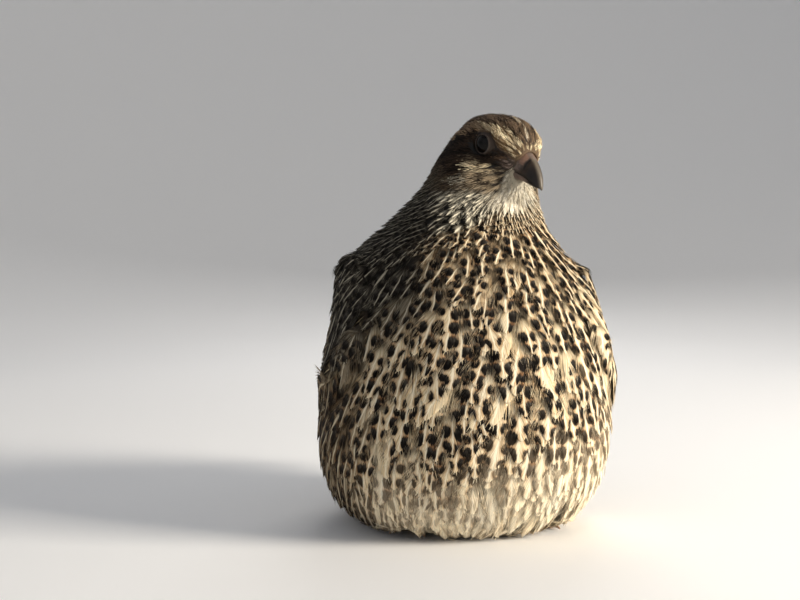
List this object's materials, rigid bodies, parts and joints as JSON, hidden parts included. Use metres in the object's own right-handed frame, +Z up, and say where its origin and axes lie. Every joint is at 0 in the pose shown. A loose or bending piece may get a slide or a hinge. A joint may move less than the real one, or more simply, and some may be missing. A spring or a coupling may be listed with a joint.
{
  "type": "coturnix quail",
  "caption": "Life-size still model of a coturnix quail crouched on the floor with fluffed, spotted plumage, folded wings, a short tail and the head turned to its left.",
  "frame": {"origin": "on the floor under the middle of the bird", "axes": "+Z up, the bird's breast faces -Y, its tail points to +Y and its left side is +X"},
  "size_m": [0.0899, 0.1329, 0.1208],
  "materials": {
    "breast_plumage": "soft barbed feathers, buff and cream with dark brown spots and pale shafts",
    "head_plumage": "fine short feathers, dark brown crown and ear patch with cream streaks",
    "back_plumage": "firm vanes, brown with buff bars and pale shaft streaks",
    "horn": "satin dark horn, browner at the base",
    "eye": "wet gloss, near black with a dark brown iris",
    "bare_skin": "scaled skin, pinkish tan, with dark claws"
  },
  "bodies": {
    "root": {"torso": "breast_plumage", "neck": "breast_plumage", "head": "head_plumage", "eye_left": "eye", "eye_right": "eye", "bill_upper": "horn", "bill_lower": "horn", "wing_left": "back_plumage", "wing_right": "back_plumage", "tail": "back_plumage", "leg_left": "bare_skin", "leg_right": "bare_skin"}
  },
  "joints": []
}
